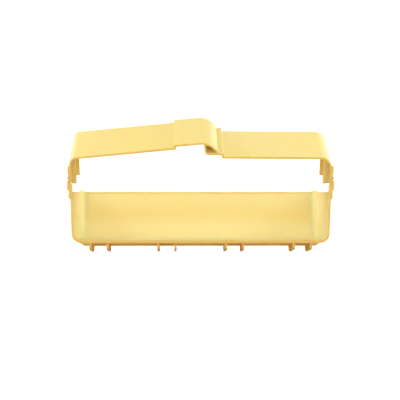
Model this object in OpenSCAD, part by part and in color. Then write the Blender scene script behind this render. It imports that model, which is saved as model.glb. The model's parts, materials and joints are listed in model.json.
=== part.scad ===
// Exit fitting of a cable raceway: an open-mouthed tray whose floor rises in a
// curved ramp to a rear lip, under a sloping cover split into two hinged halves.
// Units are millimetres, +Z is up, +Y runs from the mouth into the fitting.
// The origin is on the lower edge of the mouth, at the middle of its width.

/* [Tray] */
// Outer width of the mouth, measured at the underside
mouth_w = 309.6; // [296:0.2:322]
// Height of the side walls and of the rear lip
wall_h = 62; // [60:0.5:64]
// Depth from the mouth to the rear lip
tray_d = 149; // [146:1:160]
// Thickness of the side walls
wall_t = 2.6; // [2.2:0.1:3]
// Thickness of the floor and of the ramp
floor_t = 3.2; // [2.8:0.1:3.6]
// Outer radius of the bottom corners
corner_r = 12; // [11:0.5:14]
// Outward lean of the side walls, in degrees
draft = 1.9; // [1.5:0.1:2.3]

/* [Ramp] */
// Slope of the ramp at its crease, in degrees
crease_a = 60; // [56:1:62]
// Slope of the ramp at its rear lip, in degrees
lip_a = 45; // [40:1:48]
// Height of the crease
crease_z = 32.5; // [30:0.5:35]

/* [Mouth frame] */
// Depth of the mouth frame and its uprights
frame_d = 8; // [6:0.5:9]
// Height of the uprights that carry the hinges
upright_h = 71.4; // [70:0.2:71.6]
// Thickness of the lip across the bottom of the mouth
lip_t = 3.6; // [3.4:0.1:4.2]

/* [Underside] */
// Thickness of each locating rib
rib_t = 3; // [2.4:0.2:3.4]
// Distance between the two ribs of a pair
rib_gap = 20.7; // [19:0.1:22]
// Distance between the middles of neighbouring pairs
pair_pitch = 81.6; // [79:0.1:84]
// Depth of the ribs at the mouth end
rib_front = 7.4; // [6:0.2:8]
// Depth of the ribs at their rear tips
rib_rear = 12.4; // [10:0.2:13]

/* [Cover] */
// Depth of the cover, level, from front to rear
cover_d = 66; // [62:1:70]
// Slope of the cover, rising to the rear, in degrees
cover_a = 27.3; // [25:0.1:30]
// Thickness of the cover
cover_t = 2.4; // [2:0.1:2.6]
// Outer radius of the left half's side corner
cover_r = 8.5; // [8:0.5:9]
// Outer radius of the right half's side corner, which is rounder
right_r = 13; // [11:0.5:13.5]
// Height of the lower edges of the side flanges
flange_z = 72; // [71.9:0.1:72.4]

/* [Hinges] */
// Radius of the hinge pins
pin_r = 0.75; // [0.7:0.05:0.8]
// Radial running clearance between a pin and its hinge leaf
pin_gap = 0.05; // [0.03:0.01:0.08]
// Outer radius of the hinge knuckles
knuckle_r = 1.5; // [1.45:0.05:1.55]
// Length of each hinge along its pin
hinge_len = 16; // [15:0.5:17]
// Radius of the rivet shanks
rivet_r = 1.4; // [1.2:0.1:1.5]

/* [Hidden] */
$fn = 48;

YELLOW = [0.95, 0.84, 0.45];
YELLOW_DEEP = [0.91, 0.76, 0.36];
STEEL = [0.72, 0.72, 0.70];

half_w = mouth_w / 2;
draft_slope = tan(draft);

// Half-width of the outside of the side walls at height z
function outer_x(z) = half_w + z * draft_slope;

// Places shared by the hinges and the parts they are riveted to
hinge_y0 = 1;
hinge_y1 = hinge_y0 + hinge_len;
axis_z = 78.3;
axis_x = outer_x(axis_z) + knuckle_r + 0.25;
leaf_face_x = axis_x + 0.75;              // outer face of the hinge leaves
rivet_inset = 4;                          // from each end of a hinge
rivet_y = [hinge_y0 + rivet_inset, hinge_y1 - rivet_inset];
bracket_rivet_z = 57.5;
leaf_rivet_z = 88;

// ---- shared helpers -----------------------------------------------------
// Points along an arc about (cx, cy), from angle a0 to a1 in n steps, both ends included
function arc(cx, cy, r, a0, a1, n) = [
    for (i = [0:n])
        let (a = a0 + (a1 - a0) * i / n)
        [cx + r * cos(a), cy + r * sin(a)]
];

function reversed(points) = [for (i = [len(points) - 1:-1:0]) points[i]];

// Mirrors a list of points about the middle of the width
function flip(points) = [for (p = reversed(points)) [-p[0], p[1]]];

// Extrudes a section drawn in (x, z) from y0 to y1
module along_y(y0, y1) {
    translate([0, y1, 0]) rotate([90, 0, 0]) linear_extrude(y1 - y0) children();
}

// Extrudes a section drawn in (y, z) from x0 to x1
module along_x(x0, x1) {
    translate([x0, 0, 0]) rotate([90, 0, 90]) linear_extrude(x1 - x0) children();
}

// Holes through both sides, one for each rivet at height z
module rivet_holes(z) {
    for (side = [-1, 1], y = rivet_y)
        translate([side * (half_w - 12), y, z]) rotate([0, side * 90, 0])
            cylinder(r = rivet_r + 0.05, h = 30);
}

// ---- tray ---------------------------------------------------------------
// Ramp: a concave arc up to the crease, then a shallow convex arc to the lip
lower_r = (crease_z - floor_t) / (1 - cos(crease_a));
upper_r = (wall_h - crease_z) / (cos(lip_a) - cos(crease_a));
foot_y = tray_d - lower_r * sin(crease_a) - upper_r * (sin(crease_a) - sin(lip_a));
upper_y = foot_y + (lower_r + upper_r) * sin(crease_a);
upper_z = crease_z - upper_r * cos(crease_a);

// Surface of the floor and ramp in (y, z), moved down its normal by depth
function ramp(depth) = concat(
    [for (i = [0:16])
        let (a = crease_a * i / 16, r = lower_r + depth)
        [foot_y + r * sin(a), floor_t + lower_r - r * cos(a)]],
    [for (i = [1:8])
        let (a = crease_a + (lip_a - crease_a) * i / 8, r = upper_r - depth)
        [upper_y - r * sin(a), upper_z + r * cos(a)]]);

section_x = half_w + 10;                  // half-width of side profiles, before trimming
lip_roll_r = 2;                           // rolled rear lip
rear_y = tray_d + 0.6;

pair_x = [for (i = [-1.5:1:1.5]) i * pair_pitch];
front_bar = [48, 52];                     // front and rear faces of the cross bars
rear_bar = [96, 100];
bar_half_w = half_w - 5;
bar_corner_r = 9;
web_t = 3;

// Cross-section of the trough in (x, z), up to height h, with bottom corners of radius r
module trough(side_inset, floor_inset, h, r) {
    corner_x = outer_x(r + floor_inset - side_inset) - side_inset - r;
    half = concat(arc(corner_x, floor_inset + r, r, -90, 0, 10),
                  [[outer_x(h) - side_inset, h]]);
    polygon(concat(half, flip(half)));
}

// Floor, ramp, side walls and the mouth frame with its two uprights, all solid
module tray_block() {
    intersection() {
        along_x(-section_x, section_x)
            polygon(concat([[0, 0]], ramp(floor_t),
                           [[rear_y, wall_h - 2.4], [rear_y, wall_h],
                            [frame_d, wall_h], [frame_d, upright_h], [0, upright_h]]));
        along_y(-2, tray_d + 5) trough(0, 0, 90, corner_r);
    }
}

// Space inside the tray, open at the mouth and the top
module cable_space() {
    intersection() {
        along_x(-section_x, section_x)
            polygon(concat([[-1, lip_t], [4, lip_t], [4.6, floor_t]], ramp(0),
                           [[tray_d, 90], [-1, 90]]));
        along_y(-3, tray_d + 6) trough(wall_t, floor_t, 95, corner_r - wall_t);
    }
}

// One locating rib centred on x; points are (y, z)
module rib(x) {
    along_x(x - rib_t / 2, x + rib_t / 2)
        polygon([[2, 1], [2, -rib_front + 1], [4, -rib_front], [50, -rib_rear],
                 [56, -rib_rear], [60, -rib_rear + 4], [64, 1]]);
}

// Web from the front cross bar to the rear one, centred on x; points are (y, z)
module web(x) {
    along_x(x - web_t / 2, x + web_t / 2)
        polygon([[front_bar[1], 1], [front_bar[1], -3], [rear_bar[0], -6],
                 [rear_bar[1], -6], [rear_bar[1] + 4, 8.5], [rear_bar[0], 5]]);
}

// Cross bar from z = -drop to z = top, with rounded lower corners
module cross_bar(span, drop, top) {
    r = bar_corner_r;
    along_y(span[0], span[1]) difference() {
        translate([-bar_half_w, -drop]) square([2 * bar_half_w, drop + top]);
        for (side = [-1, 1]) difference() {
            translate([side > 0 ? bar_half_w - r : -bar_half_w - 1, -drop - 1])
                square([r + 1, r + 1]);
            translate([side * (bar_half_w - r), -drop + r]) circle(r = r);
        }
    }
}

module tray_body() {
    difference() {
        tray_block();
        cable_space();
    }
    // rolled rear lip
    along_x(-outer_x(wall_h) + 0.6, outer_x(wall_h) - 0.6)
        translate([tray_d - 0.4, wall_h - 1.9]) circle(r = lip_roll_r, $fn = 32);
    for (x = pair_x, side = [-0.5, 0.5]) rib(x + side * rib_gap);
    cross_bar(front_bar, drop = 5.2, top = 1.5);
    cross_bar(rear_bar, drop = 7.2, top = 5);
    for (x = pair_x) web(x);
}

module tray() {
    color(YELLOW) difference() {
        tray_body();
        rivet_holes(bracket_rivet_z);
    }
}

// ---- cover halves -------------------------------------------------------
// Sections are drawn in (x, z) in the plane of the mouth and swept up the slope.
pivot_z = 100;                            // the sweep is tilted about this height
section_z = 30;                           // foot of the sections, below the flange edges
trim_x = 200;                             // half-width of the trimming boxes

// Left half: side corner
corner_z = 94.6;
corner_x = outer_x(corner_z) - cover_r;
left_rise = 5.56;                         // slope towards the middle, in degrees

// Left half: step up to the raised middle, which ends in a drooping tip
step_x = -32.5;
raised_rise = 4.8;                        // slope of the raised middle, in degrees
peak = [-2, 120.4];                       // where the tip's curve begins
raised_z = peak[1] - (peak[0] - step_x) * tan(raised_rise);
peak_a = 90 + raised_rise;
tip_r = 25;
tip_center = [peak[0] - tip_r * cos(peak_a), peak[1] - tip_r * sin(peak_a)];
tip_end_a = 38;
tip_end_r = 5;
tip_end_center = [tip_center[0] + (tip_r - tip_end_r) * cos(tip_end_a),
                  tip_center[1] + (tip_r - tip_end_r) * sin(tip_end_a)];

// Right half: side corner, flat top, riser to a ledge, and a curled nose with a round edge
right_corner_z = corner_z + cover_r - right_r;
right_corner_x = outer_x(right_corner_z) - right_r;
right_top = 103.9;
riser_x = 27.4;
ledge_top = 108;
ledge_bevel = 0.6;
nose = [9.8, 111];                        // centre of the curl
nose_r = 5.6;
nose_edge = [nose[0] - 4.0, 113.8];
nose_edge_r = 1.3;

// Stiffening ribs along the rear edges
rear_rib_t = 2.4;
rear_rib_z = 82.5;                        // lower ends of the ribs

// Notch in the lower edge of each side flange
notch_x = 130;
notch_w = 50;
notch_y = 29;
notch_len = 11;
notch_h = 2;

// Height of the left half's top at x, before the step
function left_top(x) = corner_z + cover_r * sin(90 + left_rise)
    + (x + corner_x + cover_r * sin(left_rise)) * tan(left_rise);

function left_corner(r, steps) =
    arc(-corner_x, corner_z, r, 180, 90 + left_rise, steps);

// Left half's outer line moved inwards by t: flange, corner, top, raised middle, tip
function left_line(t) = concat(
    [[-outer_x(section_z) + t, section_z]],
    left_corner(cover_r - t, 8),
    [[step_x + t * 1.2, left_top(step_x) - t], [step_x + t * 1.2, raised_z - t]],
    arc(tip_center[0], tip_center[1], tip_r - t, peak_a, 41, 14),
    arc(tip_end_center[0], tip_end_center[1], tip_end_r - t, tip_end_a, 22, 3));

// Closed section of the right half: along the outside to the nose, back along the inside
function right_section(t) = concat(
    [[outer_x(section_z), section_z]],
    arc(right_corner_x, right_corner_z, right_r, 0, 90, 10),
    [[riser_x, right_top], [riser_x, ledge_top - ledge_bevel],
     [riser_x - ledge_bevel, ledge_top], [nose[0], ledge_top]],
    arc(nose[0], nose[1], nose[1] - ledge_top, 270, 180, 8),
    arc(nose_edge[0], nose_edge[1], nose_edge_r, 0, 180, 6),
    arc(nose[0], nose[1], nose_r, 180, 270, 10),
    [[riser_x - t, nose[1] - nose_r], [riser_x - t, right_top - t]],
    arc(right_corner_x, right_corner_z, right_r - t, 90, 0, 10),
    [[outer_x(section_z) - t, section_z]]);

// Outlines that bound the rear ribs: inset from the flange, corner radius r,
// drop below the top, and an end at x towards the middle
function left_rib_line(inset, r, drop, x) = concat(
    [[-outer_x(section_z) + inset, section_z]],
    left_corner(r, 6),
    [[x, left_top(x) - drop], [x, section_z]]);
function right_rib_line(inset, r, drop, x) = concat(
    [[x, section_z], [x, right_top - drop]],
    arc(right_corner_x, right_corner_z, r, 90, 0, 6),
    [[outer_x(section_z) - inset, section_z]]);

// Sweeps a section along the cover's slope from s0 to s1. Heights are
// foreshortened so that the section keeps its shape in the mouth plane.
module sloped(s0, s1, section) {
    translate([0, 0, pivot_z]) rotate([cover_a, 0, 0]) translate([0, s1, 0])
        rotate([90, 0, 0]) linear_extrude(s1 - s0)
            polygon([for (p = section) [p[0], (p[1] - pivot_z) * cos(cover_a)]]);
}

// Notch between the two tabs of a side flange, with an arched top
module flange_notch(side) {
    translate([side > 0 ? notch_x : -notch_x - notch_w, 0, 0]) {
        translate([0, notch_y, flange_z - 1]) cube([notch_w, notch_len, notch_h + 1]);
        translate([0, notch_y + notch_len / 2, flange_z + notch_h]) rotate([0, 90, 0])
            cylinder(r = 2, h = notch_w);
    }
}

// Stiffening rib between two outlines, at the rear edge of one half
module rear_rib(inner, outer) {
    intersection() {
        difference() {
            sloped(0, 120, outer);
            sloped(-1, 121, inner);
        }
        translate([-trim_x, cover_d - rear_rib_t, rear_rib_z])
            cube([2 * trim_x, rear_rib_t, 100]);
    }
}

// One half of the cover; side is -1 for left and 1 for right
module cover_half(side, section, rib_inner, rib_outer) {
    difference() {
        union() {
            intersection() {
                sloped(-60, 150, section);
                translate([-trim_x, 0, flange_z]) cube([2 * trim_x, cover_d, 120]);
            }
            rear_rib(rib_inner, rib_outer);
        }
        flange_notch(side);
        rivet_holes(leaf_rivet_z);
    }
}

module left_cover() {
    color(YELLOW) cover_half(-1,
        section = concat(left_line(0), reversed(left_line(cover_t))),
        rib_inner = left_rib_line(inset = 7, r = 2.4, drop = 6.2, x = step_x - 4),
        rib_outer = left_rib_line(inset = 1, r = cover_r - 1, drop = 1, x = step_x - 5));
}

module right_cover() {
    color(YELLOW) cover_half(1,
        section = right_section(cover_t),
        rib_inner = right_rib_line(inset = 7, r = right_r - 6.1, drop = 6.2, x = riser_x + 4),
        rib_outer = right_rib_line(inset = 1, r = right_r - 1, drop = 1, x = riser_x + 5));
}

// ---- hinges, drawn for the right side and mirrored for the left ---------
seat_gap = 0.03;                          // behind brackets and leaves
bracket_t = 1.9;
knuckle_gap = 0.15;                       // on each side of a joint between knuckles
joint_y0 = hinge_y0 + hinge_len / 3;
joint_y1 = hinge_y1 - hinge_len / 3;
bracket_knuckles = [[hinge_y0, joint_y0 - knuckle_gap], [joint_y1 + knuckle_gap, hinge_y1]];
leaf_knuckle = [joint_y0 + knuckle_gap, joint_y1 - knuckle_gap];
knuckle_web_z = 74;                       // foot of the webs below the bracket's knuckles
head_r = 2.3;                             // rivet heads
dome_r = 4.2;

// Point in (x, z) at a given distance outside the wall
function off_wall(z, gap) = [outer_x(z) + gap, z];

// Cylinder about the hinge axis
module axis_cylinder(y0, y1, r) {
    translate([axis_x, y1, axis_z]) rotate([90, 0, 0]) cylinder(r = r, h = y1 - y0);
}

module hinge_bracket() {
    difference() {
        union() {
            along_y(hinge_y0, hinge_y1) polygon([
                off_wall(52.8, seat_gap), off_wall(52.8, 1.4),
                off_wall(53.4, bracket_t), off_wall(62.6, bracket_t),
                [leaf_face_x + 0.6, 65.0], [leaf_face_x + 0.6, 74.6], [leaf_face_x, 75.1],
                off_wall(75.1, 0.3), off_wall(71, seat_gap)]);
            // two knuckles on their webs
            for (y = bracket_knuckles) {
                axis_cylinder(y[0], y[1], knuckle_r);
                translate([axis_x - knuckle_r, y[0], knuckle_web_z])
                    cube([knuckle_r + 0.4, y[1] - y[0], axis_z - knuckle_web_z]);
            }
        }
        axis_cylinder(hinge_y0 - 1, hinge_y1 + 1, pin_r);
        rivet_holes(bracket_rivet_z);
    }
}

module hinge_leaf() {
    difference() {
        union() {
            along_y(hinge_y0, hinge_y1) polygon([
                off_wall(80.8, seat_gap), off_wall(80.8, 1.3), [leaf_face_x, 82.6],
                [leaf_face_x, 92.6], [leaf_face_x - 0.6, 93.2], off_wall(93.2, seat_gap)]);
            // middle knuckle and its web
            axis_cylinder(leaf_knuckle[0], leaf_knuckle[1], knuckle_r);
            translate([axis_x - knuckle_r + 0.1, leaf_knuckle[0], axis_z])
                cube([2 * knuckle_r - 0.9, leaf_knuckle[1] - leaf_knuckle[0], 4]);
        }
        axis_cylinder(hinge_y0 - 1, hinge_y1 + 1, pin_r + pin_gap);
        rivet_holes(leaf_rivet_z);
    }
}

module hinge_pin() {
    axis_cylinder(hinge_y0 - 0.4, hinge_y1 + 0.4, pin_r);
}

// Two rivets: a shank that starts just short of the wall's inner face, and a
// domed head seated at head_x
module rivets(z, head_x, head_h) {
    shank_x = outer_x(z) - wall_t + 0.35;
    for (y = rivet_y) translate([0, y, z]) rotate([0, 90, 0]) {
        translate([0, 0, shank_x]) cylinder(r = rivet_r, h = head_x + 0.05 - shank_x);
        translate([0, 0, head_x + 0.02]) intersection() {
            cylinder(r = head_r, h = head_h);
            translate([0, 0, head_h - dome_r]) sphere(r = dome_r, $fn = 48);
        }
    }
}

module bracket_rivets() {
    rivets(bracket_rivet_z, outer_x(bracket_rivet_z + 2.4) + bracket_t, head_h = 0.8);
}

module leaf_rivets() {
    rivets(leaf_rivet_z, leaf_face_x, head_h = 0.6);
}

module left_hinge_bracket() { color(YELLOW_DEEP) mirror([1, 0, 0]) hinge_bracket(); }
module right_hinge_bracket() { color(YELLOW_DEEP) hinge_bracket(); }
module left_hinge_leaf() { color(YELLOW_DEEP) mirror([1, 0, 0]) hinge_leaf(); }
module right_hinge_leaf() { color(YELLOW_DEEP) hinge_leaf(); }
module left_hinge_pin() { color(STEEL) mirror([1, 0, 0]) hinge_pin(); }
module right_hinge_pin() { color(STEEL) hinge_pin(); }
module left_bracket_rivets() { color(YELLOW_DEEP) mirror([1, 0, 0]) bracket_rivets(); }
module right_bracket_rivets() { color(YELLOW_DEEP) bracket_rivets(); }
module left_leaf_rivets() { color(YELLOW_DEEP) mirror([1, 0, 0]) leaf_rivets(); }
module right_leaf_rivets() { color(YELLOW_DEEP) leaf_rivets(); }

tray();
left_cover();
right_cover();
left_hinge_bracket();
right_hinge_bracket();
left_hinge_leaf();
right_hinge_leaf();
left_hinge_pin();
right_hinge_pin();
left_bracket_rivets();
right_bracket_rivets();
left_leaf_rivets();
right_leaf_rivets();
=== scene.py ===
# A yellow moulded tray with a ramp inside, and two cover halves on plastic hinges.
# X runs left (-) to right (+), the front faces -Y, and the ramp rises towards +Y.
# Part sizes are in millimetres and are scaled by MM; the stage, lights and camera are in metres.
import bpy, bmesh, json, math
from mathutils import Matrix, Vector


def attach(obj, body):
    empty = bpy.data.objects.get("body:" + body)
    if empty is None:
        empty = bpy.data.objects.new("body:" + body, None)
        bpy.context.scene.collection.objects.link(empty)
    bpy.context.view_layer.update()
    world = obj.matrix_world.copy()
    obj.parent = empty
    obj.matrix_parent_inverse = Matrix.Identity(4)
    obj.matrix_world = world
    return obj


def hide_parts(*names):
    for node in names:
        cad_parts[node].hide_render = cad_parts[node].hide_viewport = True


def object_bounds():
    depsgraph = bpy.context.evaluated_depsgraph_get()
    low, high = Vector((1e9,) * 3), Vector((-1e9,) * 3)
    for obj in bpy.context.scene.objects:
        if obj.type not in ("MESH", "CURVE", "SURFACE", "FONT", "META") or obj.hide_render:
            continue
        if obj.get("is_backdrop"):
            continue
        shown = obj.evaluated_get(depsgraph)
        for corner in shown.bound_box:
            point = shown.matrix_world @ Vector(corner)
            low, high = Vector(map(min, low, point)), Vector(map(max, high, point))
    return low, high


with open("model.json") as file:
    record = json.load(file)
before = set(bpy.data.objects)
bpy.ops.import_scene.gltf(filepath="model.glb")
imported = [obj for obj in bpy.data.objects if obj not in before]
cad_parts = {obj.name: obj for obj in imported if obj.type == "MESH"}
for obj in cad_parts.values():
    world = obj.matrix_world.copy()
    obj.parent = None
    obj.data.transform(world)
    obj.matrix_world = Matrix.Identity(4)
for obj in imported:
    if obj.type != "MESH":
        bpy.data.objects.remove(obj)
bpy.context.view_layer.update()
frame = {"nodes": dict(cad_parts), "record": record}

scene = bpy.context.scene
MM = 0.001
SIDES = ((-1, "left"), (1, "right"))  # sign of x, name


def sin_deg(angle):
    return math.sin(math.radians(angle))


def cos_deg(angle):
    return math.cos(math.radians(angle))


# ---------------------------------------------------------------- shader helpers
MIX_A, MIX_B, MIX_RESULT = 6, 7, 2  # colour sockets of a Mix node


def feed(tree, target, inputs):
    """Fill sockets from values, from other sockets, or from a node's first output."""
    for key, value in inputs.items():
        if isinstance(value, bpy.types.Node):
            value = value.outputs[0]
        if isinstance(value, bpy.types.NodeSocket):
            tree.links.new(value, target.inputs[key])
        else:
            target.inputs[key].default_value = value


def node(tree, kind, inputs=None, **settings):
    made = tree.nodes.new("ShaderNode" + kind)
    for key, value in settings.items():
        setattr(made, key, value)
    feed(tree, made, inputs or {})
    return made


def colour_ramp(tree, factor, stops):
    """Two-stop ramp; stops are (position, rgb)."""
    made = node(tree, "ValToRGB", {"Fac": factor})
    for element, (position, rgb) in zip(made.color_ramp.elements, stops):
        element.position = position
        element.color = (*rgb, 1)
    return made


def new_material(name):
    material = bpy.data.materials.new(name)
    material.use_nodes = True
    return material, material.node_tree


# ---------------------------------------------------------------- materials
def plastic(name, base, deep, rough, glow, grain=1.0):
    """Moulded plastic with colour drift between deep and base, fine grain and flow streaks."""
    material, tree = new_material(name)
    tree.nodes.clear()
    output = node(tree, "OutputMaterial")
    shader = node(tree, "BsdfPrincipled")
    feed(tree, output, {"Surface": shader})
    place = node(tree, "TexCoord").outputs["Object"]

    drift = node(tree, "TexNoise", {"Vector": place, "Scale": 9.0, "Detail": 3.0})
    drift_colour = colour_ramp(tree, drift.outputs["Fac"], ((0.25, deep), (0.75, base)))

    # raised edges are painted paler in uneven patches, a painted highlight on the rounded edges
    geometry = node(tree, "NewGeometry")
    edges = node(tree, "MapRange", {
        "Value": geometry.outputs["Pointiness"], "From Min": 0.50, "From Max": 0.58})
    patch_noise = node(tree, "TexNoise", {"Vector": place, "Scale": 240.0, "Detail": 4.0})
    painted_edge_highlight = node(tree, "Math", {0: edges, 1: patch_noise.outputs["Fac"]}, operation="MULTIPLY")
    highlight_gain = (1.02, 1.05, 1.4)
    edge_highlight_colour = [min(1, channel * gain) for channel, gain in zip(base, highlight_gain)]
    # painted highlight: convex edges are mixed towards a paler, whiter yellow
    surface = node(tree, "Mix", {
        "Factor": painted_edge_highlight, MIX_A: drift_colour, MIX_B: (*edge_highlight_colour, 1)}, data_type="RGBA")

    # diffuse rays see a paler colour than the camera does, which paints paler, whiter bounce
    # light into the shaded parts
    rays = node(tree, "LightPath")
    bounce_paled_colour = node(tree, "Mix", {
        "Factor": rays.outputs["Is Diffuse Ray"], MIX_A: surface.outputs[MIX_RESULT],
        MIX_B: (0.88, 0.80, 0.60, 1)}, data_type="RGBA")
    roughness = node(tree, "MapRange", {
        "Value": patch_noise.outputs["Fac"], "To Min": rough - 0.05, "To Max": rough + 0.09})

    # fine grain under flow streaks that run along X
    fine = node(tree, "TexNoise", {"Vector": place, "Scale": 1700.0, "Detail": 2.0})
    stretch = node(tree, "Mapping", {"Vector": place, "Scale": (10.0, 90.0, 90.0)})
    flow = node(tree, "TexNoise", {"Vector": stretch, "Scale": 1.0, "Detail": 2.0})
    grain_bump = node(tree, "Bump", {
        "Height": fine.outputs["Fac"], "Strength": 0.12 * grain, "Distance": 0.00008})
    flow_bump = node(tree, "Bump", {
        "Height": flow.outputs["Fac"], "Normal": grain_bump,
        "Strength": 0.10 * grain, "Distance": 0.0006})

    feed(tree, shader, {
        "Base Color": bounce_paled_colour.outputs[MIX_RESULT],
        "Roughness": roughness,
        "Normal": flow_bump,
        "Subsurface Weight": glow,
        "Subsurface Radius": (0.005, 0.0028, 0.0008),
        "Subsurface Scale": 1.0,
        "Specular IOR Level": 0.35,
    })
    return material


def steel(name):
    """Steel with fine marks drawn out along Y."""
    material, tree = new_material(name)
    place = node(tree, "TexCoord").outputs["Object"]
    stretch = node(tree, "Mapping", {"Vector": place, "Scale": (900, 60, 900)})
    marks = node(tree, "TexNoise", {"Vector": stretch, "Scale": 2.0}).outputs["Fac"]
    roughness = node(tree, "MapRange", {"Value": marks, "To Min": 0.22, "To Max": 0.45})
    bump = node(tree, "Bump", {"Height": marks, "Strength": 0.2, "Distance": 0.00005})
    feed(tree, tree.nodes["Principled BSDF"], {
        "Base Color": (0.55, 0.54, 0.51, 1),
        "Metallic": 1.0,
        "Roughness": roughness,
        "Normal": bump,
    })
    return material


COVER_PLASTIC = plastic("moulded_yellow", base=(0.830, 0.755, 0.290),
                        deep=(0.820, 0.740, 0.270), rough=0.34, glow=0.45)
# the tray's copy of the yellow moulding is painted paler than the covers', painted light for the
# brighter light falling inside the tray
TRAY_PLASTIC_PAINTED_PALER = plastic("moulded_yellow_tray_painted_paler", base=(0.845, 0.795, 0.365),
                       deep=(0.835, 0.780, 0.335), rough=0.34, glow=0.45)
HINGE_PLASTIC = plastic("hinge_yellow", base=(0.87, 0.72, 0.25),
                        deep=(0.855, 0.70, 0.23), rough=0.42, glow=0.08, grain=1.3)
RIVET_PLASTIC = plastic("rivet_yellow", base=(0.86, 0.71, 0.24),
                        deep=(0.845, 0.69, 0.22), rough=0.34, glow=0.08, grain=0.6)
PIN_STEEL = steel("pin_steel")


# ---------------------------------------------------------------- mesh helpers
def smooth(mesh):
    for polygon in mesh.polygons:
        polygon.use_smooth = True


def object_from(mesh_data, name, sharp_angle=None):
    """Turn a bmesh into a smooth-shaded object, with sharp edges above sharp_angle degrees."""
    mesh = bpy.data.meshes.new(name)
    mesh_data.to_mesh(mesh)
    mesh_data.free()
    smooth(mesh)
    if sharp_angle is not None:
        mesh.set_sharp_from_angle(angle=math.radians(sharp_angle))
    made = bpy.data.objects.new(name, mesh)
    scene.collection.objects.link(made)
    return made


def solid(name, rings, material, body):
    """Tube through equal rings of points in mm, capped at both ends."""
    mesh_data = bmesh.new()
    loops = [[mesh_data.verts.new(Vector(point) * MM) for point in ring] for ring in rings]
    count = len(rings[0])
    for lower, upper in zip(loops, loops[1:]):
        for i in range(count):
            j = (i + 1) % count
            mesh_data.faces.new((lower[i], lower[j], upper[j], upper[i]))
    mesh_data.faces.new(list(reversed(loops[0])))
    mesh_data.faces.new(loops[-1])
    bmesh.ops.recalc_face_normals(mesh_data, faces=mesh_data.faces)
    made = object_from(mesh_data, name, sharp_angle=40)
    made.data.materials.append(material)
    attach(made, body)


# ---------------------------------------------------------------- CAD shells
# CAD nodes, material, edge rounding in mm, slot
SHELLS = (
    (("tray",), TRAY_PLASTIC_PAINTED_PALER, 0.55, "moulding"),
    (("left_cover", "right_cover"), COVER_PLASTIC, 0.5, "moulding"),
    (("left_hinge_bracket", "right_hinge_bracket"), HINGE_PLASTIC, 0.22, "hinge_plastic"),
    (("left_hinge_leaf", "right_hinge_leaf"), HINGE_PLASTIC, 0.22, "hinge_plastic"),
    (("left_hinge_pin", "right_hinge_pin"), PIN_STEEL, 0.15, "pin"),
    (("left_bracket_rivets", "right_bracket_rivets"), RIVET_PLASTIC, 0.1, "rivet"),
    (("left_leaf_rivets", "right_leaf_rivets"), RIVET_PLASTIC, 0.1, "rivet"),
)
BODY_OF = {part: body
           for body, parts in frame["record"]["behaviour"]["bodies"].items()
           for part in parts}


def rounded_shell(part, width):
    """A clean copy of a CAD node with rounded edges."""
    mesh_data = bmesh.new()
    mesh_data.from_mesh(frame["nodes"][part].data)
    bmesh.ops.remove_doubles(mesh_data, verts=mesh_data.verts, dist=2e-6)
    bmesh.ops.dissolve_limit(mesh_data, angle_limit=math.radians(0.6),
                             verts=mesh_data.verts, edges=mesh_data.edges)
    bmesh.ops.recalc_face_normals(mesh_data, faces=mesh_data.faces)
    shell = object_from(mesh_data, part + "_shell", sharp_angle=32)

    bevel = shell.modifiers.new("edges", "BEVEL")
    bevel.width = width * MM
    bevel.segments = 3
    bevel.limit_method = "ANGLE"
    bevel.angle_limit = math.radians(40)
    bevel.use_clamp_overlap = True
    bevel.harden_normals = True
    bevel.miter_outer = "MITER_ARC"
    shell.modifiers.new("normals", "WEIGHTED_NORMAL").keep_sharp = True
    return shell


for parts, material, width, slot in SHELLS:
    for part in parts:
        shell = rounded_shell(part, width)
        shell.data.materials.clear()  # also resets material indices copied from the CAD
        shell.data.materials.append(material)
        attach(shell, BODY_OF[part])
        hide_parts(part)

# ---------------------------------------------------------------- fillets beside the ramp
FLOOR_TOP = 3.2
WALL_TOP = 62.0  # also the height of the ramp's lip
LIP_Y = 149.0
BEND_Z = 32.5  # height where the hollow arc meets the rounded arc
BEND_SLOPE, LIP_SLOPE = 60.0, 45.0  # degrees
HOLLOW_RADIUS = (BEND_Z - FLOOR_TOP) / (1 - cos_deg(BEND_SLOPE))
CROWN_RADIUS = (WALL_TOP - BEND_Z) / (cos_deg(LIP_SLOPE) - cos_deg(BEND_SLOPE))
FOOT_Y = (LIP_Y - HOLLOW_RADIUS * sin_deg(BEND_SLOPE)
          - CROWN_RADIUS * (sin_deg(BEND_SLOPE) - sin_deg(LIP_SLOPE)))
CROWN_Y = FOOT_Y + (HOLLOW_RADIUS + CROWN_RADIUS) * sin_deg(BEND_SLOPE)
CROWN_Z = BEND_Z - CROWN_RADIUS * cos_deg(BEND_SLOPE)

WALL_X, WALL_DRAFT = 154.8, 1.9  # outer side face at z = 0, and its outward lean in degrees
WALL_INSET = 2.6  # from the outer side face in to the fillet's edge
FILLET_FOOT, FILLET_LIP = 9.4, 8.2  # fillet radius at either end
FILLET_SINK = 0.9  # depth sunk into the wall and the ramp
FILLET_RISE = 2.3  # most the fillet may stand above the wall


def ramp_path():
    """(y, z, slope) from just before the ramp's foot to its lip."""
    path = [(FOOT_Y - 6 + 2 * i, FLOOR_TOP, 0.0) for i in range(3)]
    for i in range(27):
        slope = BEND_SLOPE * i / 26
        path.append((FOOT_Y + HOLLOW_RADIUS * sin_deg(slope),
                     FLOOR_TOP + HOLLOW_RADIUS - HOLLOW_RADIUS * cos_deg(slope), slope))
    for i in range(1, 15):
        slope = BEND_SLOPE + (LIP_SLOPE - BEND_SLOPE) * i / 14
        path.append((CROWN_Y - CROWN_RADIUS * sin_deg(slope),
                     CROWN_Z + CROWN_RADIUS * cos_deg(slope), slope))
    return path


def fillet_section(radius):
    """(distance in from the wall, distance off the ramp) round a hollow fillet."""
    arc = [(radius - radius * sin_deg(90.0 * i / 12), radius - radius * cos_deg(90.0 * i / 12))
           for i in range(13)]
    return [(-FILLET_SINK, -FILLET_SINK), (radius, -FILLET_SINK), *arc, (-FILLET_SINK, radius)]


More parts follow.
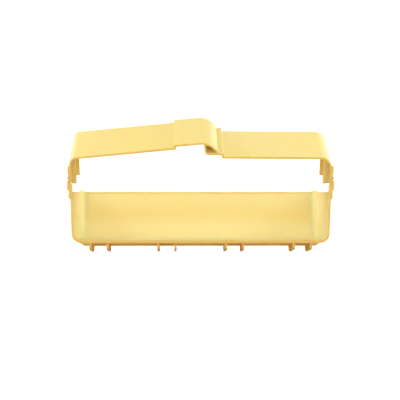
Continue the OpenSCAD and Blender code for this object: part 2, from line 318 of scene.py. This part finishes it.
def ramp_fillet(side, name):
    path = ramp_path()
    rings = []
    for i, (path_y, path_z, slope) in enumerate(path):
        along = i / (len(path) - 1)
        ring = []
        for inward, off in fillet_section(FILLET_FOOT + (FILLET_LIP - FILLET_FOOT) * along):
            y = path_y - off * sin_deg(slope)
            z = path_z + off * cos_deg(slope)
            outer_x = WALL_X + max(z, 0) * math.tan(math.radians(WALL_DRAFT))
            ring.append((side * (outer_x - WALL_INSET - inward), y,
                         min(z, WALL_TOP + FILLET_RISE)))
        rings.append(ring)
    solid(name + "_ramp_fillet", rings, TRAY_PLASTIC_PAINTED_PALER, "tray")


for side, name in SIDES:
    ramp_fillet(side, name)

# ---------------------------------------------------------------- gate mark
COVER_SLOPE = 27.3  # degrees, rising towards +Y
COVER_Z = 103.7  # height of the cover's plane at y = 0
MARK_X, MARK_Y = 59.0, 9.0
# radius, height off the cover
MARK_PROFILE = ((2.0, -0.5), (2.0, 0.02), (1.75, 0.12), (1.3, 0.12), (1.1, 0.02), (0.5, 0.0))


def gate_mark():
    """A shallow ringed dot left by moulding, near the right half's front edge."""
    centre = Vector((MARK_X, MARK_Y, COVER_Z + MARK_Y * math.tan(math.radians(COVER_SLOPE))))
    across = Vector((1, 0, 0))
    uphill = Vector((0, cos_deg(COVER_SLOPE), sin_deg(COVER_SLOPE)))
    normal = Vector((0, -sin_deg(COVER_SLOPE), cos_deg(COVER_SLOPE)))
    rings = [[centre + across * radius * cos_deg(turn) + uphill * radius * sin_deg(turn)
              + normal * height for turn in range(0, 360, 15)]
             for radius, height in MARK_PROFILE]
    solid("gate_mark", rings, HINGE_PLASTIC, "right_half")


gate_mark()

# ---------------------------------------------------------------- stage, in metres
FLOOR_DROP = 0.11  # floor below the lowest point of the product
FLOOR_HALF_WIDTH = 6
FLOOR_FRONT, SWEEP_START, SWEEP_RADIUS = -3.0, 2.2, 0.8
BACKDROP_TOP = 4.0


def floor_material():
    """White to the camera, but throws only dim, warm light on the underside."""
    material, tree = new_material("floor_white")
    white = tree.nodes["Principled BSDF"]
    feed(tree, white, {
        "Base Color": (0.93, 0.93, 0.93, 1),
        "Roughness": 0.9,
        "Specular IOR Level": 0.05,
        "Emission Color": (1, 1, 1, 1),
        "Emission Strength": 1.0,
    })
    dim = node(tree, "BsdfDiffuse", {"Color": (0.48, 0.28, 0.12, 1)})
    rays = node(tree, "LightPath")
    seen = node(tree, "MixShader", {0: rays.outputs["Is Camera Ray"], 1: dim, 2: white})
    feed(tree, tree.nodes["Material Output"], {"Surface": seen})
    return material


def floor():
    """Floor that sweeps up into a backdrop behind the product."""
    floor_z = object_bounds()[0].z - FLOOR_DROP
    profile = [(FLOOR_FRONT, floor_z), (SWEEP_START, floor_z)]
    profile += [(SWEEP_START + SWEEP_RADIUS * sin_deg(turn),
                 floor_z + SWEEP_RADIUS - SWEEP_RADIUS * cos_deg(turn))
                for turn in range(10, 91, 10)]
    profile.append((SWEEP_START + SWEEP_RADIUS, BACKDROP_TOP))
    mesh_data = bmesh.new()
    left, right = [[mesh_data.verts.new((x, y, z)) for y, z in profile]
                   for x in (-FLOOR_HALF_WIDTH, FLOOR_HALF_WIDTH)]
    for i in range(len(profile) - 1):
        mesh_data.faces.new((left[i], right[i], right[i + 1], left[i + 1]))
    made = object_from(mesh_data, "floor")
    made.data.materials.append(floor_material())
    made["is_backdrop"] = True


def studio_world():
    """Light tent: warm from the camera's side, white from behind; plain bright to the camera."""
    world = bpy.data.worlds.new("studio")
    scene.world = world
    world.use_nodes = True
    tree = world.node_tree
    direction = node(tree, "TexCoord").outputs["Generated"]
    axes = node(tree, "SeparateXYZ", {"Vector": direction})
    backward = node(tree, "MapRange", {
        "Value": axes.outputs["Y"], "From Min": -1.0, "From Max": 0.25})
    tent = colour_ramp(tree, backward, ((0.1, (1.0, 0.66, 0.33)), (0.9, (1, 1, 1))))
    rays = node(tree, "LightPath")
    sky = node(tree, "Mix", {
        "Factor": rays.outputs["Is Camera Ray"], MIX_A: tent,
        MIX_B: (1.6, 1.6, 1.6, 1)}, data_type="RGBA")
    feed(tree, tree.nodes["Background"], {"Color": sky.outputs[MIX_RESULT], "Strength": 0.59})


def area(name, at, aim, size, watts, colour=(1, 1, 1)):
    light = bpy.data.lights.new(name, "AREA")
    light.shape = "RECTANGLE"
    light.size, light.size_y = size
    light.energy = watts
    light.color = colour
    made = bpy.data.objects.new(name, light)
    scene.collection.objects.link(made)
    made.location = at
    made.rotation_mode = "QUATERNION"
    made.rotation_quaternion = (Vector(aim) - Vector(at)).to_track_quat("-Z", "Y")


def camera():
    data = bpy.data.cameras.new("cam")
    made = bpy.data.objects.new("cam", data)
    scene.collection.objects.link(made)
    scene.camera = made
    data.sensor_width = 36.0
    data.lens = 113.13
    data.clip_start, data.clip_end = 0.05, 50
    made.location = (-0.03108, -1.5084, 0.06216)
    yaw, pitch = 1.139384, 0.3874357  # degrees turned right and tipped down from +Y
    view = Vector((sin_deg(yaw) * cos_deg(pitch), cos_deg(yaw) * cos_deg(pitch),
                   -sin_deg(pitch)))
    made.rotation_mode = "QUATERNION"
    made.rotation_quaternion = view.to_track_quat("-Z", "Y")


floor()
studio_world()
area("top", at=(0, 0.35, 1.5), aim=(0, 0.05, 0.05), size=(1.6, 1.0), watts=3.8,
     colour=(0.95, 1, 1))
for side, name in SIDES:
    area(name, at=(side * 1.25, 0.15, 0.62), aim=(-side * 0.05, 0.05, 0.04),
         size=(0.9, 0.8), watts=11.5)
area("front", at=(0, -2.2, 0.45), aim=(0, 0.05, 0.05), size=(2.0, 1.4), watts=18.0,
     colour=(1.0, 0.75, 0.44))
for side, name in SIDES:
    area("rim_" + name, at=(side * 0.85, 1.5, 0.9), aim=(0, 0.05, 0.08),
         size=(0.7, 1.1), watts=4.0, colour=(0.95, 0.98, 1))
camera()
scene.view_settings.view_transform = "Standard"
